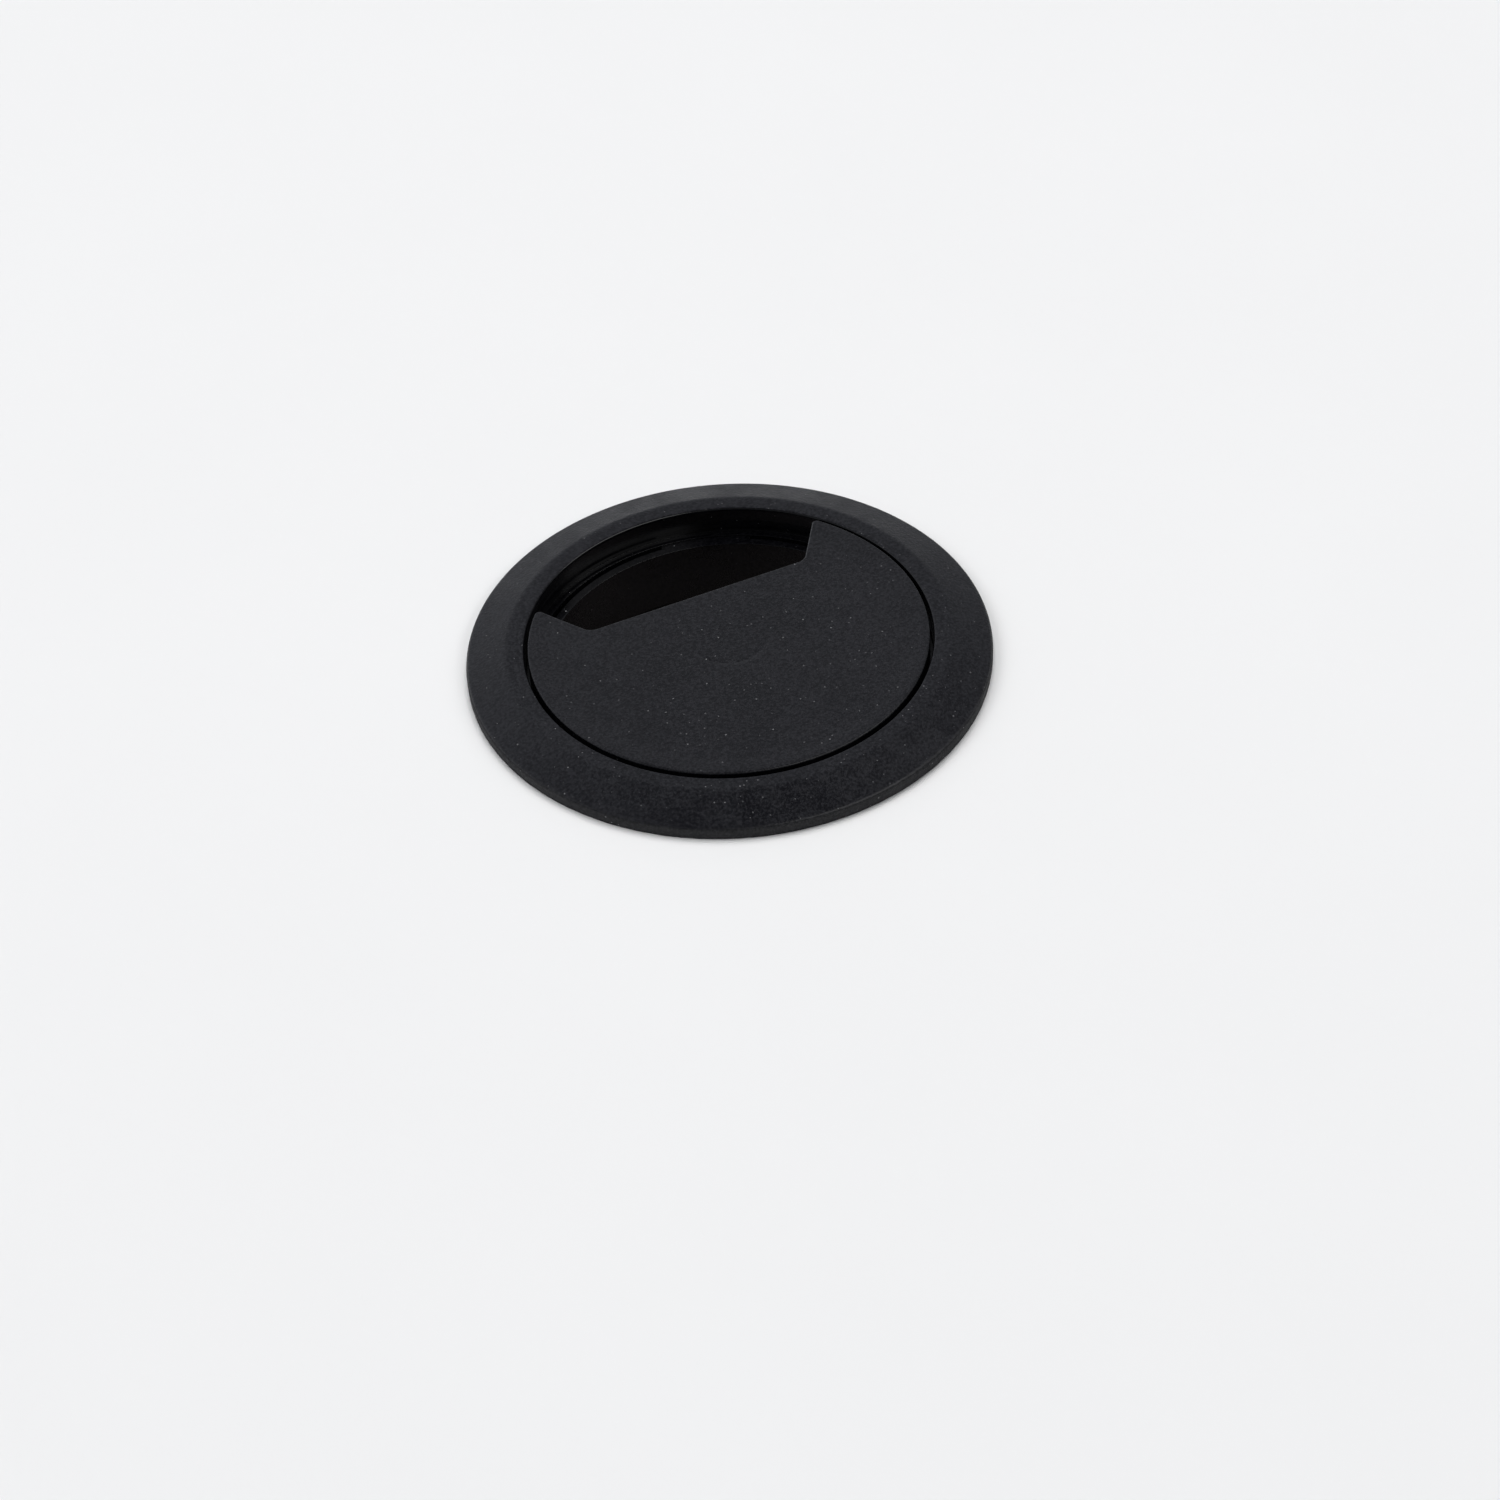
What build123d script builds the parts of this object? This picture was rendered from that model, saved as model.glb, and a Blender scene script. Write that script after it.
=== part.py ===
"""Desk cable grommet for an 80 mm hole: a flanged liner, a turning shutter ring and a notched lid.

Millimetres, +Z up. The origin is the centre of the flange's underside, the plane of the desk top.
The lid's cable notch opens towards +Y.
"""

from build123d import *
from math import cos, radians, sin, tan
import os

# Liner: the flange on the desk, the seat for the lid, and the sleeve down the hole
FLANGE_R = 47.5
RIM_H = 2.4
RIM_EDGE_R = 0.8
CREST_R = 40.2
CREST_ROUND = 3.0
LAND_Z = 4.9
SEAT_R = 36.9
SEAT_MOUTH_R = 0.3
SHELF_DEPTH = 5.5
SHELF_R = 35.75
SHELF_T = 2.0
BORE_R = 36.8
COLLAR_R = 39.5
COLLAR_H = 6.0
COLLAR_TAPER = 1.0
SLEEVE_R = 38.5
SLEEVE_H = 17.0
SLEEVE_END_CHAMFER = 0.5

# Undercut round the foot of the seat wall that the lid's snap nibs run in
UNDERCUT_R = 37.2
UNDERCUT_H = 1.0

# Hollow and ribs under the flange
FLANGE_WALL = 1.9
FOOT_INNER_R = 40.6
FOOT_OUTER_R = 46.0
FLANGE_RIBS = 12
FLANGE_RIB_T = 1.2
RIB_BITE = 0.3

# Tapered ribs that grip the wall of the hole
GRIP_RIBS = 8
GRIP_RIB_T = 1.8
GRIP_RIB_R = 39.7
GRIP_RIB_H = 9.5

# Lid: a flat plate with a skirt, cut by the cable notch
LID_R = 36.2
LID_PROUD = 0.3
LID_EDGE_R = 0.35
LID_PLATE_T = 2.0
LID_WALL = 1.4
LID_LIFT = 0.1
NOTCH_Y = 13.34
NOTCH_HALF_X = 21.4
NOTCH_FLARE_DEG = 57.0
NOTCH_CORNER_R = 2.5
NOTCH_TIP_R = 0.9
NOTCH_REACH = 30.0

# Snap nibs on the lid's skirt, placed clear of the notch
NIB_R = 37.05
NIB_H = 0.45
NIB_ARC_DEG = 9.0
NIB_ANGLES = (8.0, 172.0, 236.0, 304.0)

# Hub under the lid, split into snap fingers, which the shutter turns on
HUB_R = 6.9
HUB_WALL = 1.5
HUB_SLOT = 1.6
HUB_SLOT_TOP = 1.4
HUB_BARB = 0.6
HUB_BARB_H = 1.3

# Stiffening ribs from the hub to the skirt
LID_RIB_ANGLES = (180.0, 225.0, 270.0, 315.0, 0.0)
LID_RIB_T = 1.0
LID_RIB_H = 2.2

# Shutter: a deep ring with a half-moon plate across its top
SHUTTER_GAP = 0.3
RING_R = 34.95
RING_WALL = 1.55
RING_H = 12.2
PLATE_T = 1.6
PLATE_EDGE_Y = 9.5
HUB_RUNNING_GAP = 0.1
HUB_BARB_GAP = 0.15
HUB_EYE_R = 10.5
TABS = 4
TAB_R = 35.65
TAB_ARC_DEG = 27.0
TAB_FIRST_DEG = 73.0
TAB_T = 2.0

# Finger grooves in the shutter's plate, under the notch when the shutter is closed
FINGER_GROOVES = 3
FINGER_GROOVE_Y = -27.0
FINGER_GROOVE_PITCH = 2.6
FINGER_GROOVE_W = 1.1
FINGER_GROOVE_L = 16.0
FINGER_GROOVE_DEPTH = 0.5

# Heights that follow from the driving dimensions
SHELF_Z = LAND_Z - SHELF_DEPTH
UNDERCUT_Z = SHELF_Z + UNDERCUT_H
LID_TOP = LAND_Z + LID_PROUD
LID_UNDERSIDE = LID_TOP - LID_PLATE_T
LID_BOTTOM = SHELF_Z + LID_LIFT
NIB_Z = LID_BOTTOM + NIB_H / 2
SHUTTER_TOP = LID_BOTTOM - SHUTTER_GAP
PLATE_BOTTOM = SHUTTER_TOP - PLATE_T
HUB_BARB_TOP = PLATE_BOTTOM - HUB_BARB_GAP
HUB_BOTTOM = HUB_BARB_TOP - HUB_BARB_H


def radial_plane(angle):
    """The upright plane through the Z axis at this angle: local x runs outwards, local y up."""
    turn = radians(angle)
    return Plane(
        origin=(0, 0, 0),
        x_dir=(cos(turn), sin(turn), 0),
        z_dir=(sin(turn), -cos(turn), 0),
    )


def slope_z(radius, below=0.0):
    """Height of the flange's slope at a radius, or of a surface that far below it."""
    return RIM_H + (FLANGE_R - radius) * (LAND_Z - RIM_H) / (FLANGE_R - CREST_R) - below


def nearest(vertices, x, y):
    """The vertex of a sketch at this place."""
    return vertices.sort_by_distance((x, y, 0))[0]


def draw_lid_outline(inset=0.0):
    """The lid seen from above, drawn in the open sketch: a disc less the notch, inset all round."""
    chord_y = NOTCH_Y - inset
    corner_x = NOTCH_HALF_X + inset * tan(radians(NOTCH_FLARE_DEG / 2))
    flare = NOTCH_REACH * cos(radians(NOTCH_FLARE_DEG))
    rise = NOTCH_REACH * sin(radians(NOTCH_FLARE_DEG))
    Circle(LID_R - inset)
    Polygon(
        (-corner_x, chord_y),
        (corner_x, chord_y),
        (corner_x + flare, chord_y + rise),
        (-corner_x - flare, chord_y + rise),
        align=None,
        mode=Mode.SUBTRACT,
    )


def draw_ring_sector(inner, outer, middle, arc):
    """A piece of a flat ring, centred on an angle, drawn in the open, empty sketch."""
    start, end = radians(middle - arc / 2), radians(middle + arc / 2)
    reach = 2 * outer
    Circle(outer)
    Circle(inner, mode=Mode.SUBTRACT)
    Polygon(
        (0, 0),
        (reach * cos(start), reach * sin(start)),
        (reach * cos(end), reach * sin(end)),
        align=None,
        mode=Mode.INTERSECT,
    )


# Liner
with BuildPart() as liner:
    with BuildSketch(Plane.XZ) as liner_section:
        with BuildLine():
            Polyline(
                (COLLAR_R, 0),
                (FLANGE_R, 0),
                (FLANGE_R, RIM_H),
                (CREST_R, LAND_Z),
                (SEAT_R, LAND_Z),
                (SEAT_R, UNDERCUT_Z),
                (UNDERCUT_R, UNDERCUT_Z - (UNDERCUT_R - SEAT_R)),
                (UNDERCUT_R, SHELF_Z),
                (SHELF_R, SHELF_Z),
                (SHELF_R, SHELF_Z - SHELF_T),
                (BORE_R, SHELF_Z - SHELF_T),
                (BORE_R, -SLEEVE_H),
                (SLEEVE_R, -SLEEVE_H),
                (SLEEVE_R, -COLLAR_H - COLLAR_TAPER),
                (COLLAR_R, -COLLAR_H),
                close=True,
            )
        make_face()
        fillet(nearest(liner_section.vertices(), FLANGE_R, RIM_H), RIM_EDGE_R)
        fillet(nearest(liner_section.vertices(), CREST_R, LAND_Z), CREST_ROUND)
        fillet(nearest(liner_section.vertices(), SEAT_R, LAND_Z), SEAT_MOUTH_R)
        chamfer(nearest(liner_section.vertices(), SLEEVE_R, -SLEEVE_H), SLEEVE_END_CHAMFER)
    revolve(axis=Axis.Z)

    # The flange is a shell: the hollow under it follows the slope
    with BuildSketch(Plane.XZ):
        with BuildLine():
            Polyline(
                (FOOT_INNER_R, 0),
                (FOOT_OUTER_R, 0),
                (FOOT_OUTER_R, slope_z(FOOT_OUTER_R, FLANGE_WALL)),
                (FOOT_INNER_R, slope_z(FOOT_INNER_R, FLANGE_WALL)),
                close=True,
            )
        make_face()
    revolve(axis=Axis.Z, mode=Mode.SUBTRACT)

    for n in range(FLANGE_RIBS):
        with BuildSketch(radial_plane(n * 360 / FLANGE_RIBS)):
            with BuildLine():
                Polyline(
                    (FOOT_INNER_R - RIB_BITE, 0),
                    (FOOT_OUTER_R + RIB_BITE, 0),
                    (FOOT_OUTER_R + RIB_BITE, slope_z(FOOT_OUTER_R, FLANGE_WALL - RIB_BITE)),
                    (FOOT_INNER_R - RIB_BITE, slope_z(FOOT_INNER_R, FLANGE_WALL - RIB_BITE)),
                    close=True,
                )
            make_face()
        extrude(amount=FLANGE_RIB_T / 2, both=True)

    for n in range(GRIP_RIBS):
        with BuildSketch(radial_plane((n + 0.5) * 360 / GRIP_RIBS)):
            with BuildLine():
                Polyline(
                    (SLEEVE_R - RIB_BITE, -COLLAR_H),
                    (GRIP_RIB_R, -COLLAR_H),
                    (GRIP_RIB_R, -COLLAR_H - GRIP_RIB_H / 2),
                    (SLEEVE_R, -COLLAR_H - GRIP_RIB_H),
                    (SLEEVE_R - RIB_BITE, -COLLAR_H - GRIP_RIB_H),
                    close=True,
                )
            make_face()
        extrude(amount=GRIP_RIB_T / 2, both=True)

liner.part.label = "liner"

# Lid
with BuildPart() as lid:
    with BuildSketch(Plane.XY.offset(LID_BOTTOM)) as lid_outline:
        draw_lid_outline()
        fillet(lid_outline.vertices().group_by(Axis.Y)[0], NOTCH_CORNER_R)
        fillet(lid_outline.vertices().group_by(Axis.Y)[-1], NOTCH_TIP_R)
    extrude(amount=LID_TOP - LID_BOTTOM)
    top_edges = lid.faces().sort_by(Axis.Z)[-1].edges()
    outer_arc = top_edges.sort_by(SortBy.LENGTH)[-1]
    fillet(outer_arc, LID_EDGE_R)

    # Hollow inside the skirt
    with BuildSketch(Plane.XY.offset(LID_BOTTOM)):
        draw_lid_outline(LID_WALL)
    extrude(amount=LID_UNDERSIDE - LID_BOTTOM, mode=Mode.SUBTRACT)

    for angle in LID_RIB_ANGLES:
        with BuildSketch(radial_plane(angle)):
            with Locations(((HUB_R + LID_R - LID_WALL) / 2, LID_UNDERSIDE - LID_RIB_H / 2)):
                Rectangle(LID_R - LID_WALL - HUB_R + 2 * RIB_BITE, LID_RIB_H)
        extrude(amount=LID_RIB_T / 2, both=True)

    # Hub, with a barb round its end that holds the shutter up
    with BuildSketch(Plane.XZ):
        with BuildLine():
            Polyline(
                (HUB_R - HUB_WALL, LID_UNDERSIDE + RIB_BITE),
                (HUB_R, LID_UNDERSIDE + RIB_BITE),
                (HUB_R, HUB_BARB_TOP),
                (HUB_R + HUB_BARB, HUB_BARB_TOP),
                (HUB_R - HUB_WALL / 3, HUB_BOTTOM),
                (HUB_R - HUB_WALL, HUB_BOTTOM),
                close=True,
            )
        make_face()
    revolve(axis=Axis.Z)
    with BuildSketch(Plane.XY.offset(HUB_BOTTOM)):
        Rectangle(HUB_SLOT, 2 * HUB_R + 2 * HUB_WALL)
        Rectangle(2 * HUB_R + 2 * HUB_WALL, HUB_SLOT)
    extrude(amount=HUB_SLOT_TOP - HUB_BOTTOM, mode=Mode.SUBTRACT)

    for angle in NIB_ANGLES:
        with BuildSketch(Plane.XY.offset(NIB_Z - NIB_H / 2)):
            draw_ring_sector(LID_R - RIB_BITE, NIB_R, angle, NIB_ARC_DEG)
        extrude(amount=NIB_H)

lid.part.label = "lid"

# Shutter
with BuildPart() as shutter:
    with BuildSketch(Plane.XY.offset(SHUTTER_TOP)):
        Circle(RING_R)
        Circle(RING_R - RING_WALL, mode=Mode.SUBTRACT)
    extrude(amount=-RING_H)

    # Half-moon plate with an eye for the hub
    with BuildSketch(Plane.XY.offset(SHUTTER_TOP)):
        Circle(RING_R - RING_WALL / 2)
        with Locations((0, PLATE_EDGE_Y)):
            Rectangle(2 * RING_R, 2 * RING_R, align=(Align.CENTER, Align.MIN), mode=Mode.SUBTRACT)
        Circle(HUB_EYE_R)
        Circle(HUB_R + HUB_RUNNING_GAP, mode=Mode.SUBTRACT)
    extrude(amount=-PLATE_T)

    for n in range(TABS):
        with BuildSketch(Plane.XY.offset(SHUTTER_TOP)):
            draw_ring_sector(RING_R - RIB_BITE, TAB_R, TAB_FIRST_DEG + n * 360 / TABS, TAB_ARC_DEG)
        extrude(amount=-TAB_T)

    for n in range(FINGER_GROOVES):
        with BuildSketch(Plane.XY.offset(SHUTTER_TOP)):
            with Locations((0, FINGER_GROOVE_Y + n * FINGER_GROOVE_PITCH)):
                SlotOverall(FINGER_GROOVE_L, FINGER_GROOVE_W)
        extrude(amount=-FINGER_GROOVE_DEPTH, mode=Mode.SUBTRACT)

shutter.part.label = "shutter"

os.makedirs("parts", exist_ok=True)
for piece in (liner, lid, shutter):
    export_step(piece.part, f"parts/{piece.part.label}.step")
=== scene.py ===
"""Desk grommet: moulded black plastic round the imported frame, on a pale desk in soft studio light.

All is in metres. Outer radii and heights come from the frame, and most other sizes are named below
in millimetres.
The origin is the centre of the flange's underside, +Z up, and the lid's cable notch opens towards +Y.
"""

from math import acos, asin, atan2, cos, pi, radians, sin, sqrt, tan

import bmesh
import bpy
from mathutils import Matrix, Vector, noise


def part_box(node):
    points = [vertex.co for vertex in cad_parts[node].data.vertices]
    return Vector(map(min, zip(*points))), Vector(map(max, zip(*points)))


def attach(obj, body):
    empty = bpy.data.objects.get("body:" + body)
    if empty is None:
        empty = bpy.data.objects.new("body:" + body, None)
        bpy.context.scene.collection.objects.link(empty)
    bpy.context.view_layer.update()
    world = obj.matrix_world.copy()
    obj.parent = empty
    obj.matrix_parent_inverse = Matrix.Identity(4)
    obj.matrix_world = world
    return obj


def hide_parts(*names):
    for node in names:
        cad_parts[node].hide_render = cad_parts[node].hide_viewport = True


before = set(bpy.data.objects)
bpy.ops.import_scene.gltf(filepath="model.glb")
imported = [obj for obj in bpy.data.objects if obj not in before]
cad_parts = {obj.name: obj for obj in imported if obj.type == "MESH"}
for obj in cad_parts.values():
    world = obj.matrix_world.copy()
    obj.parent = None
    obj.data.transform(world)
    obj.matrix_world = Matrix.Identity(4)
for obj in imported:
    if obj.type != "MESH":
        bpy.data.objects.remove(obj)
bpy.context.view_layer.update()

MM = 0.001

# Steps that curves are divided into
LATHE_STEPS = 384
MARK_STEPS = 180
HUB_STEPS = 96
ARC_STEPS = 24
ROUND_STEPS = 12
CORNER_STEPS = 6
FINGER_CORNER_STEPS = 3
LID_BACK_STEPS = 300
LID_CHORD_STEPS = 24
LID_FLARE_STEPS = 10
LID_EDGE_STEPS = 7
LID_INSET_STEPS = 16
PLATE_STEPS = 240

# Rounding of small edges, and support loops that keep long faces flat beside it
SMALL_EDGE_R = 0.15 * MM
SUPPORT = 0.3 * MM
LONG_STRETCH = 4 * SUPPORT
SHARP_ANGLE = radians(28.0)

# How far ribs, nibs and tabs reach into what they stand on, and steps that keep shells from sharing a face
RIB_BITE = 0.3 * MM
HUB_STEP = 0.05 * MM
TAB_STEP = 0.02 * MM

# Outer sizes, from the frame
liner_low, liner_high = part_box("liner")
lid_low, lid_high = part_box("lid")
shutter_low, shutter_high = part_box("shutter")
FLANGE_R = liner_high.x
LAND_Z = liner_high.z
SLEEVE_END = liner_low.z
LID_TOP = lid_high.z
HUB_BOTTOM = lid_low.z
SHUTTER_TOP = shutter_high.z
RING_BOTTOM = shutter_low.z

# Liner
RIM_H = 2.4 * MM
RIM_FOOT_R = 0.25 * MM
RIM_EDGE_R = 0.8 * MM
CREST_R = 40.2 * MM
CREST_ROUND = 3.0 * MM
SEAT_R = 36.9 * MM
SEAT_MOUTH_R = 0.45 * MM
SHELF_Z = LAND_Z - 5.5 * MM
SHELF_R = 35.75 * MM
SHELF_T = 2.0 * MM
BORE_R = 36.8 * MM
COLLAR_R = 39.5 * MM
COLLAR_H = 6.0 * MM
COLLAR_TAPER = 1.0 * MM
SLEEVE_R = 38.5 * MM
UNDERCUT_R = 37.2 * MM
UNDERCUT_Z = SHELF_Z + 1.0 * MM
WALL_LINE_Z = LAND_Z - 2.6 * MM
WALL_LINE_W = 0.03 * MM
FLANGE_WALL = 1.9 * MM
FOOT_INNER_R = 40.6 * MM
FOOT_OUTER_R = 46.0 * MM
FLANGE_RIBS = 12
FLANGE_RIB_T = 1.2 * MM
GRIP_RIBS = 8
GRIP_RIB_T = 1.8 * MM
GRIP_RIB_R = 39.7 * MM
GRIP_RIB_H = 9.5 * MM
RIB_FOOT_Z = 0.1 * MM

# Flash at the flange's foot: how deep it is bitten away, its height, reach inwards and waves round the
# rim, and its fractal noise's increment, lacunarity and octaves
FLASH = 0.12 * MM
FLASH_H = 0.9 * MM
FLASH_REACH = 0.5 * MM
FLASH_WAVES = 40
FLASH_NOISE = (1.0, 2.0, 4)

# Lid
LID_R = 36.2 * MM
LID_EDGE_R = 0.35 * MM
LID_PLATE_T = 2.0 * MM
LID_WALL = 1.4 * MM
LID_BOTTOM = SHELF_Z + 0.1 * MM
NOTCH_Y = 13.34 * MM
NOTCH_HALF_X = 21.4 * MM
NOTCH_FLARE = radians(57.0)
NOTCH_CORNER_R = 2.5 * MM
NOTCH_TIP_R = 0.9 * MM
NOTCH_EDGE_R = 0.3 * MM
NOTCH_EDGE_FADE = 0.6 * MM
LEAST_TIP_R = 0.2 * MM
DISH = 0.12 * MM
DISH_FROM = 1.0 * MM
DISH_TO = 4.0 * MM
DISH_LOOPS = 8
NIB_R = 37.05 * MM
NIB_H = 0.45 * MM
NIB_ARC = radians(9.0)
NIB_ANGLES = (8.0, 172.0, 236.0, 304.0)
NIB_Z = LID_BOTTOM + NIB_H / 2
HUB_R = 6.9 * MM
HUB_WALL = 1.5 * MM
HUB_FINGERS = 4
HUB_SLOT = 1.6 * MM
HUB_SLOT_TOP = 1.4 * MM
HUB_BARB = 0.6 * MM
HUB_BARB_H = 1.3 * MM
LID_RIB_ANGLES = (180.0, 225.0, 270.0, 315.0, 0.0)
LID_RIB_T = 1.0 * MM
LID_RIB_H = 2.2 * MM

# Faint ring over the hub: its section as places in widths from its radius and shares of its depth,
# the plain circles each side of it, and how it fades and breaks round the circle
WITNESS_R = 6.9 * MM
WITNESS_W = 0.35 * MM
WITNESS_DEPTH = 0.13 * MM
WITNESS_SECTION = ((1, 0), (0.5, 0.7), (0, 1), (-0.6, 0.4), (-1.5, 0))
WITNESS_OUTSIDE = (4, 3)
WITNESS_INSIDE = -3
WITNESS_DEEPEST = radians(-112)
WITNESS_LEAST = 0.12
WITNESS_WHOLE = 0.75
WITNESS_BREAKS = 0.5
WITNESS_WAVES = 4

# Where materials change: the upward part of a face's normal on the flange's rim, on the lid's rounded
# edge and on the ring's top, and the radii that the lid's notch lies between
RIM_STEEP = 0.6
# Rounded lid faces along the notch take the painted highlight
LID_ROUNDED = 0.99
RING_TOP_FLAT = 0.5
NOTCH_RING = (1.5 * WITNESS_R, LID_R - 0.8 * MM)

# Shutter
RING_R = 34.95 * MM
RING_WALL = 1.55 * MM
PLATE_T = 1.6 * MM
PLATE_EDGE_Y = 9.5 * MM
HUB_HOLE_R = 7.0 * MM
HUB_EYE_R = 10.5 * MM
TABS = 4
TAB_R = 35.65 * MM
TAB_ARC = radians(27.0)
TAB_FIRST = radians(73.0)
TAB_T = 2.0 * MM
FINGER_GROOVES = 3
FINGER_GROOVE_Y = -27.0 * MM
FINGER_GROOVE_PITCH = 2.6 * MM
FINGER_GROOVE_W = 1.1 * MM
FINGER_GROOVE_L = 16.0 * MM
FINGER_GROOVE_DEPTH = 0.5 * MM

# Camera and stage
CAMERA_AZIMUTH = radians(-22.46)
CAMERA_ELEVATION = radians(42.25)
CAMERA_ROLL = radians(3.44)
CAMERA_DISTANCE = 0.8
CAMERA_OFFSET = (-2.65 * MM, 16.68 * MM)
CAMERA_LENS = 106.35
CAMERA_CLIP = (0.01, 20)
SENSOR = 36.0
DESK_R = 2.5
DESK_T = 25.0 * MM
DESK_HOLE_R = 40.0 * MM
DESK_DARK = (0.83, 0.83, 0.83)
DESK_LIGHT = (0.85, 0.85, 0.85)
DESK_ROUGH = 0.6
DESK_GRAIN = 0.01 * MM
# The hole's wall and blind floor are painted dark as shade; the floor stands in for the shaded space under
# the desk
HOLE_DARK = (0.07, 0.062, 0.064)
HOLE_LIGHT = (0.13, 0.115, 0.118)
HOLE_ROUGH = 0.8

# Room: its colour, its strength at the horizon and overhead, how fast it dims upwards, how it grows
# from right to left, and how it dims from the side to the front, with where that starts and ends
ROOM_COLOUR = (0.96, 0.985, 1.05)
ROOM_LOW = 0.37
ROOM_HIGH = 0.03
ROOM_POWER = 3
LEFT_SIDE = (-cos(CAMERA_AZIMUTH), -sin(CAMERA_AZIMUTH), 0)
LEFT_GAIN = (0.25, 1.75)
FRONT_SIDE = (sin(CAMERA_AZIMUTH), -cos(CAMERA_AZIMUTH), 0)
FRONT_SPAN = (-0.1, 0.8)
FRONT_GAIN = (1, 0.3)

# Noises, as features to a metre, levels of detail and roughness
CLOUD = (60, 3, 0.5)
MOTTLE = (260, 4, 0.6)
SPECKLE = (1900, 2, 0.6)
FINE = (3200, 2, 0.5)
DESK_TONE = (14, 3, 0.5)
DESK_BUMP = (900, 2, 0.5)

# Plastic: each noise's share of the colour and of the relief, and how smudges and dust change the gloss
PLASTIC_IOR = 1.5
TONE_SHARES = {"speckle": 0.7, "mottle": 0.15, "cloud": 0.15}
TONE_SPAN = (0.42, 0.60)
RELIEF_SHARES = {"speckle": 1.0, "fine": 0.3, "mottle": 0.2, "dust": 0.5}
SMUDGE_SPAN = (0.8, 1.2)
SMUDGE_GLOSS = 0.06
SMUDGE_DULL = 0.07
DUST_DULL = 0.3

# Dust: cells to a metre, the specks' sizes in cells, their strengths and their colour
DUST_CELLS = 1150
DUST_SIZE = (0.08, 0.20)
DUST_STRENGTH = (0.08, 1.0)
DUST_COLOUR = (0.15, 0.15, 0.155)


# ---------------------------------------------------------------- camera

def make_camera():
    """Looks down on the grommet from the front left, tilted a little."""
    flat = Vector((sin(-CAMERA_AZIMUTH), cos(CAMERA_AZIMUTH), 0))
    right = Vector((flat.y, -flat.x, 0))
    forward = flat * cos(CAMERA_ELEVATION) - Vector((0, 0, sin(CAMERA_ELEVATION)))
    up = right.cross(forward)
    data = bpy.data.cameras.new("camera")
    data.lens = CAMERA_LENS
    data.sensor_width = SENSOR
    data.clip_start, data.clip_end = CAMERA_CLIP
    camera = bpy.data.objects.new("camera", data)
    place = -right * CAMERA_OFFSET[0] - up * CAMERA_OFFSET[1] - forward * CAMERA_DISTANCE
    image_x = right * cos(CAMERA_ROLL) - up * sin(CAMERA_ROLL)
    image_y = right * sin(CAMERA_ROLL) + up * cos(CAMERA_ROLL)
    turn = Matrix((image_x, image_y, -forward)).transposed()
    camera.matrix_world = Matrix.Translation(place) @ turn.to_4x4()
    bpy.context.scene.collection.objects.link(camera)
    bpy.context.scene.camera = camera


make_camera()


# ---------------------------------------------------------------- materials

def node_tree(name):
    """A new node material, its node tree and its shader."""
    material = bpy.data.materials.new(name)
    material.use_nodes = True
    tree = material.node_tree
    return material, tree, tree.nodes["Principled BSDF"]


def add_coords(tree):
    """The object's own coordinates."""
    return tree.nodes.new("ShaderNodeTexCoord").outputs["Object"]


def add_noise(tree, coords, kind):
    """A noise texture over the object, of a kind given as scale, detail and roughness."""
    texture = tree.nodes.new("ShaderNodeTexNoise")
    for socket, value in zip(("Scale", "Detail", "Roughness"), kind):
        texture.inputs[socket].default_value = value
    tree.links.new(coords, texture.inputs["Vector"])
    return texture.outputs["Fac"]


def add_range(tree, value, low, high, to_low, to_high):
    """value mapped from low..high to to_low..to_high, clamped."""
    node = tree.nodes.new("ShaderNodeMapRange")
    node.inputs["From Min"].default_value = low
    node.inputs["From Max"].default_value = high
    node.inputs["To Min"].default_value = to_low
    node.inputs["To Max"].default_value = to_high
    tree.links.new(value, node.inputs["Value"])
    return node.outputs["Result"]


def add_math(tree, operation, first, second):
    """first operation second, where each is a socket or a number."""
    node = tree.nodes.new("ShaderNodeMath")
    node.operation = operation
    for socket, value in zip(node.inputs, (first, second)):
        if isinstance(value, (int, float)):
            socket.default_value = value
        else:
            tree.links.new(value, socket)
    return node.outputs["Value"]


def add_sum(tree, layers, shares):
    """The named layers, each times its share, added up."""
    total = 0
    for layer, share in shares.items():
        total = add_math(tree, "ADD", total, add_math(tree, "MULTIPLY", layers[layer], share))
    return total


def add_bump(tree, shader, height, distance):
    """Relief of that height, in shares of the distance."""
    bump = tree.nodes.new("ShaderNodeBump")
    bump.inputs["Distance"].default_value = distance
    tree.links.new(height, bump.inputs["Height"])
    tree.links.new(bump.outputs["Normal"], shader.inputs["Normal"])


def add_mix(tree, factor, first, second):
    """A colour between first and second, where each is a socket or an RGB tuple."""
    node = tree.nodes.new("ShaderNodeMixRGB")
    tree.links.new(factor, node.inputs["Fac"])
    for socket, value in ((node.inputs["Color1"], first), (node.inputs["Color2"], second)):
        if isinstance(value, tuple):
            socket.default_value = (*value, 1)
        else:
            tree.links.new(value, socket)
    return node.outputs["Color"]


def add_dust(tree, coords, share):
    """A mask of small specks of dust, on this share of the cells of a fine Voronoi pattern."""
    cells = tree.nodes.new("ShaderNodeTexVoronoi")
    cells.inputs["Scale"].default_value = DUST_CELLS
    tree.links.new(coords, cells.inputs["Vector"])
    split = tree.nodes.new("ShaderNodeSeparateColor")
    tree.links.new(cells.outputs["Color"], split.inputs["Color"])
    size = add_range(tree, split.outputs["Blue"], 0, 1, *DUST_SIZE)
    near = add_math(tree, "LESS_THAN", cells.outputs["Distance"], size)
    chosen = add_math(tree, "LESS_THAN", split.outputs["Red"], share)
    strength = add_range(tree, split.outputs["Green"], 0, 1, *DUST_STRENGTH)
    strength = add_math(tree, "MULTIPLY", strength, strength)
    return add_math(tree, "MULTIPLY", add_math(tree, "MULTIPLY", near, chosen), strength)


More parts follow.
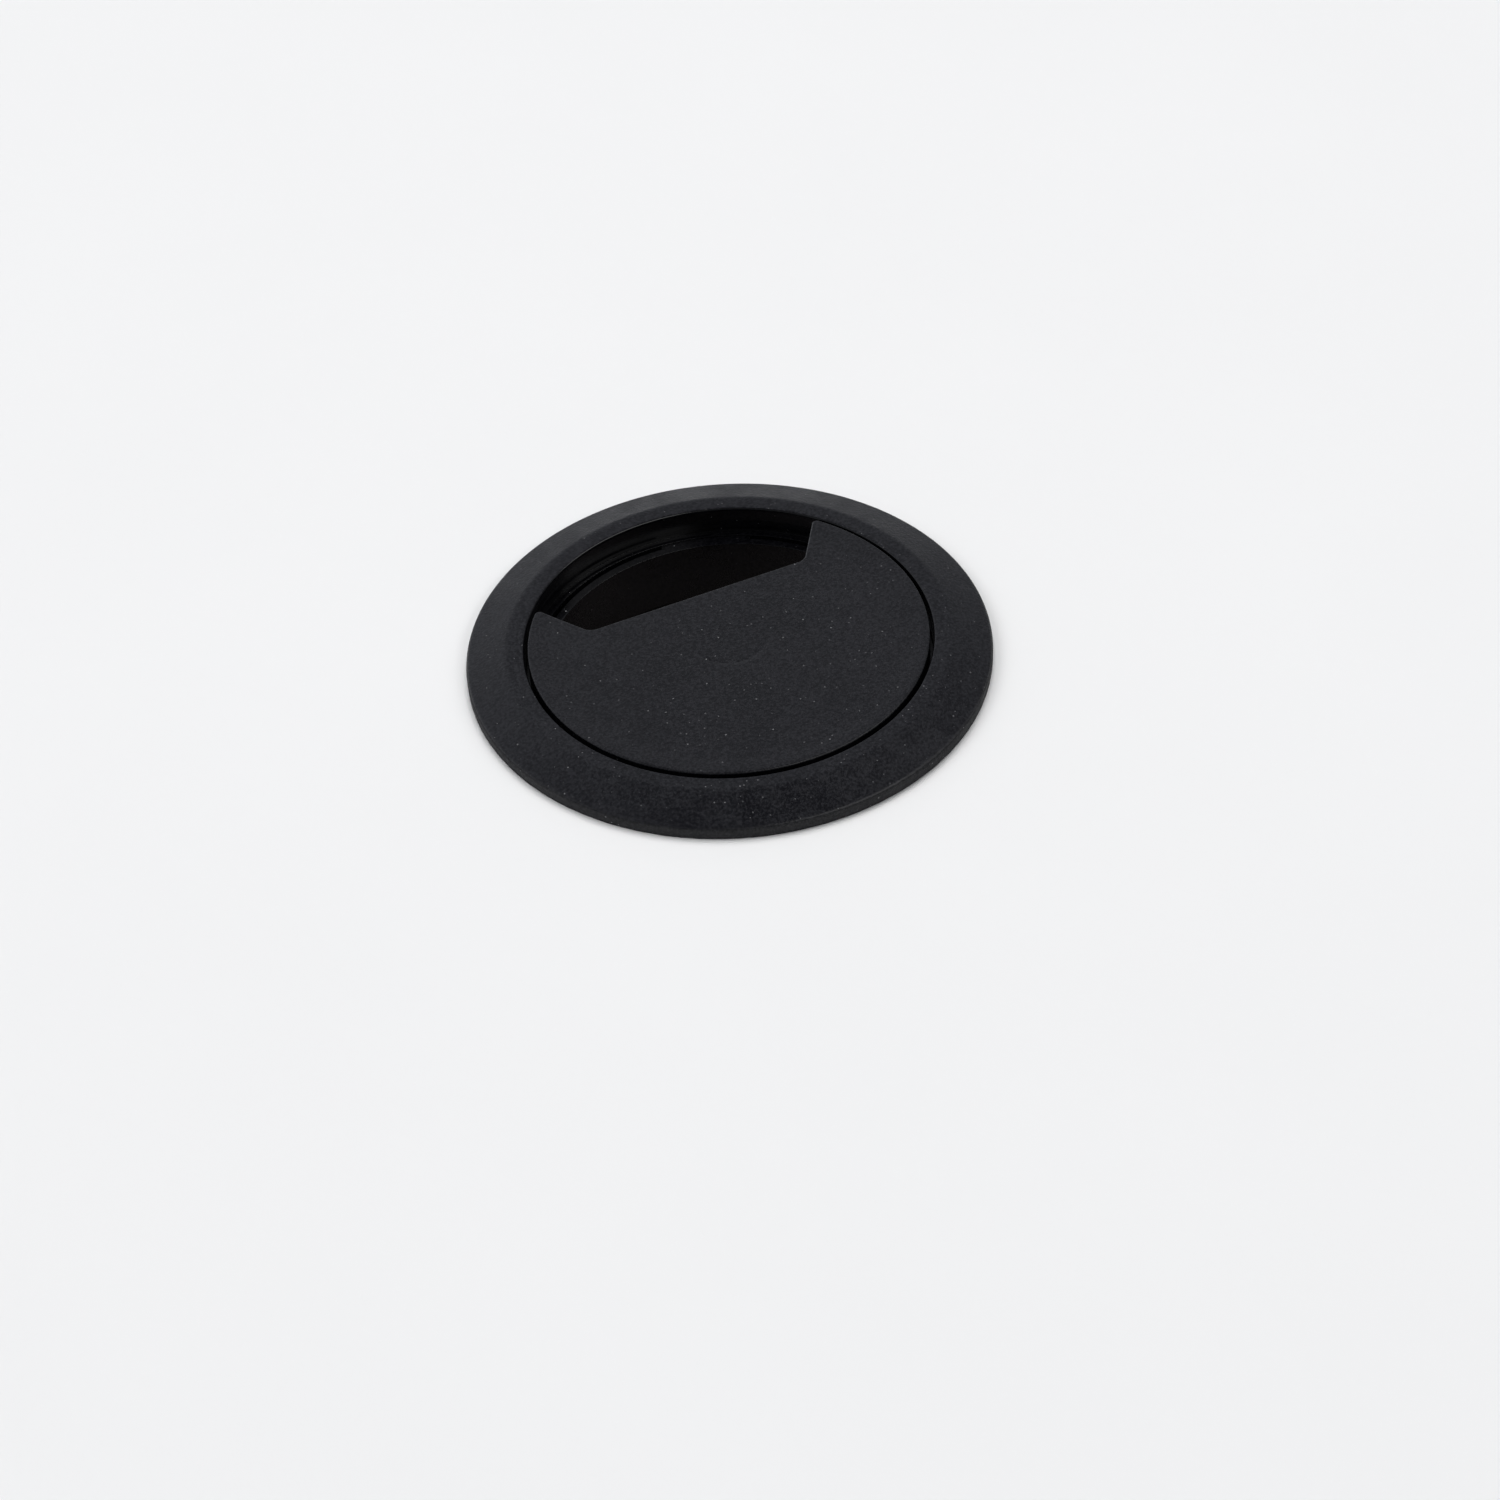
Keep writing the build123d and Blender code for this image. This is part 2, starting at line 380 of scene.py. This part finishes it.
def make_plastic(name, dark, light, rough, grain, dust):
    """Moulded black plastic: spark-eroded grain, mottling, smudges that change its gloss, and dust."""
    material, tree, shader = node_tree(name)
    coords = add_coords(tree)
    kinds = {"cloud": CLOUD, "mottle": MOTTLE, "speckle": SPECKLE, "fine": FINE}
    layers = {layer: add_noise(tree, coords, kind) for layer, kind in kinds.items()}
    layers["dust"] = add_dust(tree, coords, dust)

    tone = add_range(tree, add_sum(tree, layers, TONE_SHARES), *TONE_SPAN, 0, 1)
    colour = add_mix(tree, layers["dust"], add_mix(tree, tone, dark, light), DUST_COLOUR)
    tree.links.new(colour, shader.inputs["Base Color"])

    smudge = add_math(tree, "ADD", layers["cloud"], layers["mottle"])
    gloss = add_range(tree, smudge, *SMUDGE_SPAN, rough - SMUDGE_GLOSS, rough + SMUDGE_DULL)
    gloss = add_math(tree, "ADD", gloss, add_math(tree, "MULTIPLY", layers["dust"], DUST_DULL))
    tree.links.new(gloss, shader.inputs["Roughness"])

    add_bump(tree, shader, add_sum(tree, layers, RELIEF_SHARES), grain)
    shader.inputs["IOR"].default_value = PLASTIC_IOR
    return material


LINER_BLACK = make_plastic(
    "liner_plastic", dark=(0.0022, 0.0023, 0.0038), light=(0.0124, 0.0126, 0.0156),
    rough=0.42, grain=0.07 * MM, dust=0.34)
RIM_BLACK = make_plastic(
    "rim_plastic", dark=(0.0010, 0.0011, 0.0024), light=(0.0130, 0.0132, 0.0158),
    rough=0.78, grain=0.08 * MM, dust=0.30)
LID_BLACK = make_plastic(
    "lid_plastic", dark=(0.0030, 0.0031, 0.0045), light=(0.0122, 0.0123, 0.0150),
    rough=0.41, grain=0.07 * MM, dust=0.18)
# A lighter plastic on the rounded edges of the lid's notch: a painted highlight along those edges
NOTCH_EDGE_HIGHLIGHT = make_plastic(
    "notch_edge_painted_highlight", dark=(0.016, 0.016, 0.018), light=(0.050, 0.051, 0.055),
    rough=0.34, grain=0.02 * MM, dust=0.12)
# Smooth glossy plastic for the hidden inner faces; its colour is darker than the outer plastic's, as
# painted shade in the recesses and under the lid
SHADED_INNER_BLACK = make_plastic(
    "inner_plastic_painted_shade", dark=(0.0008, 0.0008, 0.0014), light=(0.0042, 0.0042, 0.0052),
    rough=0.20, grain=0.003 * MM, dust=0.16)
RING_BLACK = make_plastic(
    "ring_plastic", dark=(0.0040, 0.0035, 0.0037), light=(0.0110, 0.0099, 0.0104),
    rough=0.30, grain=0.006 * MM, dust=0.14)


# ---------------------------------------------------------------- mesh helpers

def clamp(value):
    """The value, held between 0 and 1."""
    return max(0.0, min(1.0, value))


def arc(radius, first, last, steps, centre=(0, 0)):
    """Points (x, y) along part of a circle, with both its ends."""
    turns = [first + (last - first) * n / steps for n in range(steps + 1)]
    return [Vector((centre[0] + radius * cos(t), centre[1] + radius * sin(t))) for t in turns]


def rounded_profile(corners, steps=CORNER_STEPS):
    """Points of a closed outline whose corners, as (r, z, radius), are rounded."""
    points = []
    for n, (x, z, radius) in enumerate(corners):
        here = Vector((x, z))
        if radius <= 0:
            points.append(here)
            continue
        before = (Vector(corners[n - 1][:2]) - here).normalized()
        after = (Vector(corners[(n + 1) % len(corners)][:2]) - here).normalized()
        half = acos(max(-1, min(1, before.dot(after)))) / 2
        middle = here + (before + after).normalized() * (radius / sin(half))
        first = here + before * (radius / tan(half)) - middle
        last = here + after * (radius / tan(half)) - middle
        start = atan2(first.y, first.x)
        sweep = (atan2(last.y, last.x) - start + pi) % (2 * pi) - pi
        for step in range(steps + 1):
            turn = start + sweep * step / steps
            points.append(middle + Vector((cos(turn), sin(turn))) * radius)
    return with_supports(points)


def with_supports(points):
    """The outline with a point added near both ends of each long straight stretch."""
    result = []
    for n, point in enumerate(points):
        following = points[(n + 1) % len(points)]
        result.append(point)
        length = (following - point).length
        if length > LONG_STRETCH:
            result.append(point.lerp(following, SUPPORT / length))
            result.append(following.lerp(point, SUPPORT / length))
    return result


def lathe(bm, profile, steps=LATHE_STEPS):
    """Turns a closed (r, z) profile about the Z axis into a closed ring of faces."""
    rings = []
    for point in profile:
        ring = []
        for n in range(steps):
            turn = 2 * pi * n / steps
            ring.append(bm.verts.new((point.x * cos(turn), point.x * sin(turn), point.y)))
        rings.append(ring)
    for n, ring in enumerate(rings):
        bridge(bm, ring, rings[(n + 1) % len(rings)])


def lathe_arc(bm, profile, first, last, steps):
    """Turns a closed (r, z) profile through part of a circle, with its two ends closed."""
    sections = []
    for n in range(steps + 1):
        turn = first + (last - first) * n / steps
        sections.append([bm.verts.new((p.x * cos(turn), p.x * sin(turn), p.y)) for p in profile])
    for before, after in zip(sections, sections[1:]):
        bridge(bm, before, after)
    bm.faces.new(sections[0])
    bm.faces.new(sections[-1])


def bridge(bm, first, second):
    """Faces between two closed loops with the same number of points."""
    for n in range(len(first)):
        m = (n + 1) % len(first)
        bm.faces.new((first[n], first[m], second[m], second[n]))


def prism(bm, outline, place):
    """A closed solid between an outline's two ends, where place(point, side) puts the points of each."""
    ends = [[bm.verts.new(place(point, side)) for point in outline] for side in (0, 1)]
    bridge(bm, ends[0], ends[1])
    bm.faces.new(ends[0])
    bm.faces.new(ends[1])


def radial_prism(bm, outline, angle, thick):
    """An upright rib: an (r, z) outline at an angle about the Z axis, with its thickness across."""
    out = Vector((cos(angle), sin(angle), 0))
    across = Vector((-sin(angle), cos(angle), 0))

    def place(point, side):
        return out * point[0] + Vector((0, 0, point[1])) + across * thick * (side - 0.5)

    prism(bm, outline, place)


def sector_outline(inner, outer, middle, sweep):
    """The (x, y) outline of a piece of a flat ring."""
    first, last = middle - sweep / 2, middle + sweep / 2
    return arc(outer, first, last, ARC_STEPS) + arc(inner, last, first, ARC_STEPS)


def flat_prism(bm, outline, low, high):
    """An (x, y) outline between two heights."""
    prism(bm, outline, lambda point, side: (*point, (low, high)[side]))


def new_object(name, bm, *materials):
    """A mesh object from a bmesh, with its faces turned outwards."""
    bmesh.ops.recalc_face_normals(bm, faces=bm.faces)
    mesh = bpy.data.meshes.new(name)
    bm.to_mesh(mesh)
    bm.free()
    for material in materials:
        mesh.materials.append(material)
    made = bpy.data.objects.new(name, mesh)
    bpy.context.scene.collection.objects.link(made)
    return made


def circle(bm, radius, height, steps=MARK_STEPS):
    """A closed loop of points on a circle about the Z axis."""
    turns = [2 * pi * n / steps for n in range(steps)]
    return [bm.verts.new((radius * cos(t), radius * sin(t), height)) for t in turns]


def loop_edges(bm, loop):
    """The edges of a closed loop of points."""
    pairs = [(loop[n - 1], loop[n]) for n in range(len(loop))]
    return [bm.edges.get(pair) or bm.edges.new(pair) for pair in pairs]


def fill_between(bm, outer, *holes):
    """Flat faces between an outer loop and the holes in it."""
    edges = loop_edges(bm, outer)
    for hole in holes:
        edges += loop_edges(bm, hole)
    bmesh.ops.triangle_fill(bm, edges=edges, use_beauty=True)


def finish_piece(piece, body, node):
    """Smooth but for its sharp edges, on its body and for its CAD node."""
    piece.data.shade_smooth()
    piece.data.set_sharp_from_angle(angle=SHARP_ANGLE)
    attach(piece, body)
    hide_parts(node)


# ---------------------------------------------------------------- liner

def slope_z(radius, below=0.0):
    """Height of the flange's slope at a radius, or of a surface that far below it."""
    return RIM_H + (FLANGE_R - radius) * (LAND_Z - RIM_H) / (FLANGE_R - CREST_R) - below


def liner_section():
    """The liner's outline in the plane of its axis, from the flange's foot up, inwards, down and out."""
    edge = SMALL_EDGE_R
    return rounded_profile([
        (FOOT_OUTER_R, 0, edge),
        (FLANGE_R, 0, RIM_FOOT_R),
        (FLANGE_R, RIM_H, RIM_EDGE_R),
        (CREST_R, LAND_Z, CREST_ROUND),
        (SEAT_R, LAND_Z, SEAT_MOUTH_R),
        (SEAT_R, WALL_LINE_Z, 0),
        (SEAT_R - WALL_LINE_W, WALL_LINE_Z - WALL_LINE_W / 2, 0),
        (SEAT_R - WALL_LINE_W, UNDERCUT_Z, edge / 3),
        (UNDERCUT_R, UNDERCUT_Z - (UNDERCUT_R - SEAT_R), edge / 3),
        (UNDERCUT_R, SHELF_Z, edge / 3),
        (SHELF_R, SHELF_Z, edge / 3),
        (SHELF_R, SHELF_Z - SHELF_T, edge),
        (BORE_R, SHELF_Z - SHELF_T, edge),
        (BORE_R, SLEEVE_END, edge),
        (SLEEVE_R, SLEEVE_END, 2 * edge),
        (SLEEVE_R, -COLLAR_H - COLLAR_TAPER, edge),
        (COLLAR_R, -COLLAR_H, edge),
        (COLLAR_R, 0, edge),
        (FOOT_INNER_R, 0, edge),
        (FOOT_INNER_R, slope_z(FOOT_INNER_R, FLANGE_WALL), 2 * edge),
        (FOOT_OUTER_R, slope_z(FOOT_OUTER_R, FLANGE_WALL), 2 * edge),
    ])


def add_liner_ribs(bm):
    """Ribs under the flange and grip ribs down the sleeve."""
    under = [
        (FOOT_INNER_R - RIB_BITE, RIB_FOOT_Z),
        (FOOT_OUTER_R + RIB_BITE, RIB_FOOT_Z),
        (FOOT_OUTER_R + RIB_BITE, slope_z(FOOT_OUTER_R, FLANGE_WALL - RIB_BITE)),
        (FOOT_INNER_R - RIB_BITE, slope_z(FOOT_INNER_R, FLANGE_WALL - RIB_BITE)),
    ]
    grip = [
        (SLEEVE_R - RIB_BITE, -COLLAR_H + RIB_BITE),
        (COLLAR_R - RIB_BITE, -COLLAR_H + RIB_BITE),
        (GRIP_RIB_R, -COLLAR_H - RIB_BITE),
        (GRIP_RIB_R, -COLLAR_H - GRIP_RIB_H / 2),
        (SLEEVE_R, -COLLAR_H - GRIP_RIB_H),
        (SLEEVE_R - RIB_BITE, -COLLAR_H - GRIP_RIB_H),
    ]
    for n in range(FLANGE_RIBS):
        radial_prism(bm, under, 2 * pi * n / FLANGE_RIBS, FLANGE_RIB_T)
    for n in range(GRIP_RIBS):
        radial_prism(bm, grip, 2 * pi * (n + 0.5) / GRIP_RIBS, GRIP_RIB_T)


def roughen_foot(bm):
    """Bites the foot of the flange's rim unevenly, so that it reads as a flash of moulding."""
    for vert in bm.verts:
        radius = vert.co.xy.length
        if radius > FLANGE_R - FLASH_REACH and vert.co.z < FLASH_H:
            turn = atan2(vert.co.y, vert.co.x)
            place = Vector((cos(turn), sin(turn), 0)) * FLASH_WAVES
            bite = clamp(0.5 + 0.5 * noise.fractal(place, *FLASH_NOISE))
            vert.co.xy *= 1 - FLASH * bite * (1 - vert.co.z / FLASH_H) / radius


def make_liner():
    """The flange, seat, shelf and sleeve turned as one ring, with ribs below and a flash at its foot."""
    bm = bmesh.new()
    lathe(bm, liner_section())
    add_liner_ribs(bm)
    roughen_foot(bm)
    liner = new_object("liner_moulding", bm, LINER_BLACK, SHADED_INNER_BLACK, RIM_BLACK)
    for face in liner.data.polygons:
        radius = face.center.xy.length
        # Faces inside the seat, on the shelf and down the bore take the inner plastic, darkened as painted
        # shade
        if radius < SEAT_R + RIB_BITE and face.center.z < LAND_Z - SEAT_MOUTH_R / 10:
            face.material_index = 1
        elif radius > FLANGE_R - RIM_EDGE_R and face.normal.z < RIM_STEEP:
            face.material_index = 2
    finish_piece(liner, "liner", "liner")


# ---------------------------------------------------------------- lid

def lid_outline(inset=0.0):
    """The lid's outline seen from above, inset all round: a disc with the flared cable notch."""
    edge_r = LID_R - inset
    tip_r = max(NOTCH_TIP_R - inset, LEAST_TIP_R)
    corner_r = NOTCH_CORNER_R + inset
    along = Vector((cos(NOTCH_FLARE), sin(NOTCH_FLARE)))
    across = Vector((along.y, -along.x))
    start = Vector((NOTCH_HALF_X, NOTCH_Y)) + across * (inset + tip_r)
    back = start.dot(along)
    reach = sqrt(back ** 2 - start.length_squared + (edge_r - tip_r) ** 2) - back
    tip = start + along * reach
    tip_turn = atan2(tip.y, tip.x)
    corner = Vector((NOTCH_HALF_X - NOTCH_CORNER_R * tan(NOTCH_FLARE / 2), NOTCH_Y + NOTCH_CORNER_R))

    def between(first, last, steps):
        return [first.lerp(last, n / steps) for n in range(1, steps)]

    tip_arc = arc(tip_r, tip_turn, NOTCH_FLARE + pi / 2, ROUND_STEPS, tip)
    corner_arc = arc(corner_r, NOTCH_FLARE - pi / 2, -pi / 2, ROUND_STEPS, corner)
    right = tip_arc + between(tip_arc[-1], corner_arc[0], LID_FLARE_STEPS) + corner_arc
    left = [Vector((-p.x, p.y)) for p in reversed(right)]
    chord = between(right[-1], left[0], LID_CHORD_STEPS)
    round_the_back = arc(edge_r, pi - tip_turn, 2 * pi + tip_turn, LID_BACK_STEPS)
    return right + chord + left + round_the_back[1:-1]


def edge_radius(point):
    """The rounding of the lid's top edge: full on the disc's edge, small along the notch."""
    share = clamp((LID_R - point.length) / NOTCH_EDGE_FADE)
    return LID_EDGE_R + (NOTCH_EDGE_R - LID_EDGE_R) * share


def lid_top(place):
    """Height of the lid's top, which is sunk a little inside its outer edge."""
    share = clamp((LID_R - place.length - DISH_FROM) / (DISH_TO - DISH_FROM))
    return LID_TOP - DISH * share * share * (3 - 2 * share)


def lid_loops(bm):
    """The lid's loops of points, from the flat of its top round its edge to the inside of its skirt."""
    base = lid_outline()
    loops = []
    for n in range(DISH_LOOPS, -1, -1):
        inset = LID_EDGE_R + SMALL_EDGE_R + DISH_TO * n / DISH_LOOPS
        loops.append([bm.verts.new((*p, lid_top(p))) for p in lid_outline(inset)])
    insets = [lid_outline(LID_EDGE_R * n / LID_INSET_STEPS) for n in range(LID_INSET_STEPS + 1)]

    def inset_point(n, amount):
        place = amount / LID_EDGE_R * LID_INSET_STEPS
        low = min(LID_INSET_STEPS - 1, int(place))
        return insets[low][n].lerp(insets[low + 1][n], place - low)

    for step in range(LID_EDGE_STEPS + 1):
        turn = pi / 2 * step / LID_EDGE_STEPS
        ring = []
        for n, point in enumerate(base):
            radius = edge_radius(point)
            place = inset_point(n, radius * (1 - sin(turn)))
            ring.append(bm.verts.new((*place, lid_top(place) - radius * (1 - cos(turn)))))
        loops.append(ring)
    foot = SMALL_EDGE_R
    loops.append([bm.verts.new((*p, LID_BOTTOM + foot)) for p in base])
    loops.append([bm.verts.new((*p, LID_BOTTOM)) for p in lid_outline(foot)])
    loops.append([bm.verts.new((*p, LID_BOTTOM)) for p in lid_outline(LID_WALL - foot)])
    loops.append([bm.verts.new((*p, LID_BOTTOM + foot)) for p in lid_outline(LID_WALL)])
    loops.append([bm.verts.new((*p, LID_TOP - LID_PLATE_T)) for p in lid_outline(LID_WALL)])
    return loops


def witness_loop(bm, radius, share):
    """A loop of the faint ring on the lid, sunk by a share of its depth and fading round the circle."""
    loop = circle(bm, radius, LID_TOP - DISH)
    for n, vert in enumerate(loop):
        turn = 2 * pi * n / len(loop)
        place = Vector((cos(turn), sin(turn), 0)) * WITNESS_WAVES
        whole = WITNESS_WHOLE + WITNESS_BREAKS * noise.noise(place)
        near = (0.5 + 0.5 * cos(turn - WITNESS_DEEPEST)) ** 2
        vert.co.z -= WITNESS_DEPTH * share * whole * (WITNESS_LEAST + (1 - WITNESS_LEAST) * near)
    return loop


def add_lid_top(bm, outer):
    """The flat of the lid's top inside an outer loop, with the faint ring on it."""
    flat = LID_TOP - DISH
    loops = [circle(bm, WITNESS_R + place * WITNESS_W, flat) for place in WITNESS_OUTSIDE]
    loops += [witness_loop(bm, WITNESS_R + place * WITNESS_W, share) for place, share in WITNESS_SECTION]
    loops.append(circle(bm, WITNESS_R + WITNESS_INSIDE * WITNESS_W, flat))
    fill_between(bm, outer, loops[0])
    for first, second in zip(loops, loops[1:]):
        bridge(bm, first, second)
    bm.faces.new(loops[-1])


def add_hub(bm, underside):
    """The split hub under the lid: a short tube, and four fingers that end in a barb."""
    barb_top = HUB_BOTTOM + HUB_BARB_H
    root = rounded_profile([
        (HUB_R - HUB_WALL - HUB_STEP, underside + RIB_BITE, 0),
        (HUB_R + HUB_STEP, underside + RIB_BITE, 0),
        (HUB_R + HUB_STEP, HUB_SLOT_TOP, HUB_STEP),
        (HUB_R - HUB_WALL - HUB_STEP, HUB_SLOT_TOP, HUB_STEP),
    ])
    lathe(bm, root, HUB_STEPS)
    finger = rounded_profile([
        (HUB_R - HUB_WALL, HUB_SLOT_TOP + RIB_BITE, 0),
        (HUB_R, HUB_SLOT_TOP + RIB_BITE, 0),
        (HUB_R, barb_top, SMALL_EDGE_R),
        (HUB_R + HUB_BARB, barb_top, SMALL_EDGE_R),
        (HUB_R - HUB_WALL / 3, HUB_BOTTOM, SMALL_EDGE_R),
        (HUB_R - HUB_WALL, HUB_BOTTOM, SMALL_EDGE_R),
    ], FINGER_CORNER_STEPS)
    half_slot = HUB_SLOT / 2 / HUB_R
    pitch = 2 * pi / HUB_FINGERS
    for n in range(HUB_FINGERS):
        lathe_arc(bm, finger, n * pitch + half_slot, (n + 1) * pitch - half_slot, ARC_STEPS)


def add_lid_ribs(bm, underside):
    """Ribs from the hub to the skirt, and the snap nibs on the skirt."""
    rib = [
        (HUB_R - RIB_BITE, underside + RIB_BITE),
        (LID_R - LID_WALL + RIB_BITE, underside + RIB_BITE),
        (LID_R - LID_WALL + RIB_BITE, underside - LID_RIB_H),
        (HUB_R - RIB_BITE, underside - LID_RIB_H),
    ]
    for angle in LID_RIB_ANGLES:
        radial_prism(bm, rib, radians(angle), LID_RIB_T)
    for angle in NIB_ANGLES:
        nib = sector_outline(LID_R - RIB_BITE, NIB_R, radians(angle), NIB_ARC)
        flat_prism(bm, nib, NIB_Z - NIB_H / 2, NIB_Z + NIB_H / 2)


def make_lid():
    """A plate with a skirt and a notch, a faint ring on top, and ribs, snap nibs and a split hub below."""
    bm = bmesh.new()
    loops = lid_loops(bm)
    for first, second in zip(loops, loops[1:]):
        bridge(bm, first, second)
    add_lid_top(bm, loops[0])
    bm.faces.new(loops[-1])
    underside = LID_TOP - LID_PLATE_T
    add_hub(bm, underside)
    add_lid_ribs(bm, underside)
    lid = new_object("lid_moulding", bm, LID_BLACK, NOTCH_EDGE_HIGHLIGHT, SHADED_INNER_BLACK)
    for face in lid.data.polygons:
        place = face.center
        rounded = place.z > LID_TOP - DISH - NOTCH_EDGE_R and face.normal.z < LID_ROUNDED
        # Rounded faces along the notch take the lighter plastic, a painted highlight
        if rounded and NOTCH_RING[0] < place.xy.length < NOTCH_RING[1]:
            face.material_index = 1
        # The skirt and everything under the lid take the inner plastic, darkened as painted shade
        elif place.z < LID_TOP - LID_EDGE_R:
            face.material_index = 2
    finish_piece(lid, "lid", "lid")


# ---------------------------------------------------------------- shutter

def slot_outline(y):
    """The (x, y) outline of a finger groove, a slot with round ends across the plate."""
    radius = FINGER_GROOVE_W / 2
    reach = FINGER_GROOVE_L / 2 - radius
    right = arc(radius, -pi / 2, pi / 2, ROUND_STEPS, (reach, y))
    return right + arc(radius, pi / 2, 3 * pi / 2, ROUND_STEPS, (-reach, y))


def plate_outline():
    """The (x, y) outline of the half-moon plate, whose straight edge swells round the hub's eye."""
    plate_r = RING_R - RING_WALL / 2
    plate_turn = asin(PLATE_EDGE_Y / plate_r)
    eye_turn = asin(PLATE_EDGE_Y / HUB_EYE_R)
    round_the_back = arc(plate_r, pi - plate_turn, 2 * pi + plate_turn, PLATE_STEPS)
    return round_the_back + arc(HUB_EYE_R, eye_turn, pi - eye_turn, ARC_STEPS)


def add_finger_grooves(bm):
    """The finger grooves' walls and floors, as a list of the loops round their mouths."""
    grooves = []
    for n in range(FINGER_GROOVES):
        slot = slot_outline(FINGER_GROOVE_Y + n * FINGER_GROOVE_PITCH)
        mouth = [bm.verts.new((*point, SHUTTER_TOP)) for point in slot]
        floor = [bm.verts.new((*point, SHUTTER_TOP - FINGER_GROOVE_DEPTH)) for point in slot]
        bridge(bm, mouth, floor)
        bm.faces.new(floor)
        grooves.append(mouth)
    return grooves


def add_plate(bm):
    """The half-moon plate with the hole for the hub and the finger grooves."""
    walls = []
    for height, holes in ((SHUTTER_TOP, add_finger_grooves(bm)), (SHUTTER_TOP - PLATE_T, [])):
        outer = [bm.verts.new((*point, height)) for point in plate_outline()]
        inner = circle(bm, HUB_HOLE_R, height, HUB_STEPS)
        fill_between(bm, outer, inner, *holes)
        walls.append((outer, inner))
    bridge(bm, walls[0][0], walls[1][0])
    bridge(bm, walls[0][1], walls[1][1])


def make_shutter():
    """A deep ring with a half-moon plate across its top, an eye for the hub and four guide tabs."""
    edge = SMALL_EDGE_R
    bm = bmesh.new()
    lathe(bm, rounded_profile([
        (RING_R - RING_WALL, SHUTTER_TOP, edge / 2),
        (RING_R, SHUTTER_TOP, edge / 3),
        (RING_R, RING_BOTTOM, edge),
        (RING_R - RING_WALL, RING_BOTTOM, edge),
    ]))
    add_plate(bm)
    for n in range(TABS):
        tab = sector_outline(RING_R - RIB_BITE, TAB_R, TAB_FIRST + 2 * pi * n / TABS, TAB_ARC)
        flat_prism(bm, tab, SHUTTER_TOP - TAB_T, SHUTTER_TOP - TAB_STEP)
    shutter = new_object("shutter_moulding", bm, RING_BLACK, SHADED_INNER_BLACK)
    for face in shutter.data.polygons:
        # The ring's top takes the inner plastic, darkened as painted shade
        if face.normal.z > RING_TOP_FLAT and face.center.xy.length > RING_R - RING_WALL:
            face.material_index = 1
    finish_piece(shutter, "shutter", "shutter")


make_liner()
make_lid()
make_shutter()


# ---------------------------------------------------------------- stage and light

def make_desk_white():
    """The desk's pale matt coat."""
    material, tree, shader = node_tree("desk_white")
    coords = add_coords(tree)
    colour = add_mix(tree, add_noise(tree, coords, DESK_TONE), DESK_DARK, DESK_LIGHT)
    tree.links.new(colour, shader.inputs["Base Color"])
    shader.inputs["Roughness"].default_value = DESK_ROUGH
    add_bump(tree, shader, add_noise(tree, coords, DESK_BUMP), DESK_GRAIN)
    return material


def make_hole_shade():
    """The inside of the hole in the desk, painted dark as shade, with a random mottle."""
    material, tree, shader = node_tree("hole_shade")
    painted_hole_shade = add_mix(tree, add_noise(tree, add_coords(tree), CLOUD), HOLE_DARK, HOLE_LIGHT)
    tree.links.new(painted_hole_shade, shader.inputs["Base Color"])
    shader.inputs["Roughness"].default_value = HOLE_ROUGH
    return material


def make_desk():
    """A pale desk top with the blind hole that the sleeve goes down."""
    bm = bmesh.new()
    loops = [circle(bm, DESK_R, 0), circle(bm, DESK_HOLE_R, 0), circle(bm, DESK_HOLE_R, -DESK_T)]
    for first, second in zip(loops, loops[1:]):
        bridge(bm, first, second)
    bm.faces.new(loops[-1])
    desk = new_object("desk", bm, make_desk_white(), make_hole_shade())
    for face in desk.data.polygons:
        # The hole's wall and floor take the dark painted shade
        face.material_index = 1 if face.center.z < -MM else 0


def add_dot(tree, coords, direction):
    """How far the coordinates point in a direction, from -1 to 1."""
    toward = tree.nodes.new("ShaderNodeVectorMath")
    toward.operation = "DOT_PRODUCT"
    toward.inputs[1].default_value = direction
    tree.links.new(coords, toward.inputs[0])
    return toward.outputs["Value"]


def make_world():
    """A white room, dim overhead and on the camera's side, and brighter on its left than on its right."""
    world = bpy.data.worlds.new("studio")
    world.use_nodes = True
    bpy.context.scene.world = world
    tree = world.node_tree
    background = tree.nodes["Background"]
    background.inputs["Color"].default_value = (*ROOM_COLOUR, 1)
    coords = tree.nodes.new("ShaderNodeTexCoord").outputs["Generated"]
    height = add_range(tree, add_dot(tree, coords, (0, 0, 1)), 0, 1, 0, 1)
    room = add_range(tree, add_math(tree, "POWER", height, ROOM_POWER), 0, 1, ROOM_LOW, ROOM_HIGH)
    left = add_range(tree, add_dot(tree, coords, LEFT_SIDE), -1, 1, *LEFT_GAIN)
    front = add_range(tree, add_dot(tree, coords, FRONT_SIDE), *FRONT_SPAN, *FRONT_GAIN)
    strength = add_math(tree, "MULTIPLY", room, add_math(tree, "MULTIPLY", left, front))
    tree.links.new(strength, background.inputs["Strength"])


def add_softbox(name, place, size, power, glossy):
    """An area light aimed at the grommet, which shows in its gloss or doesn't."""
    data = bpy.data.lights.new(name, "AREA")
    data.shape = "RECTANGLE"
    data.size, data.size_y = size
    data.energy = power
    light = bpy.data.objects.new(name, data)
    light.visible_glossy = glossy
    light.location = place
    light.rotation_mode = "QUATERNION"
    light.rotation_quaternion = (-Vector(place)).to_track_quat("-Z", "Y")
    bpy.context.scene.collection.objects.link(light)


make_desk()
make_world()
add_softbox("top", place=(0.4, 0.6, 2.0), size=(1.4, 1.4), power=29, glossy=False)
add_softbox("left", place=(-1.4, 0.3, 1.6), size=(1.2, 1.2), power=15, glossy=False)
add_softbox("front", place=(0.96, -1.23, 1.5), size=(2.6, 0.8), power=13, glossy=True)
bpy.context.scene.view_settings.view_transform = "Standard"
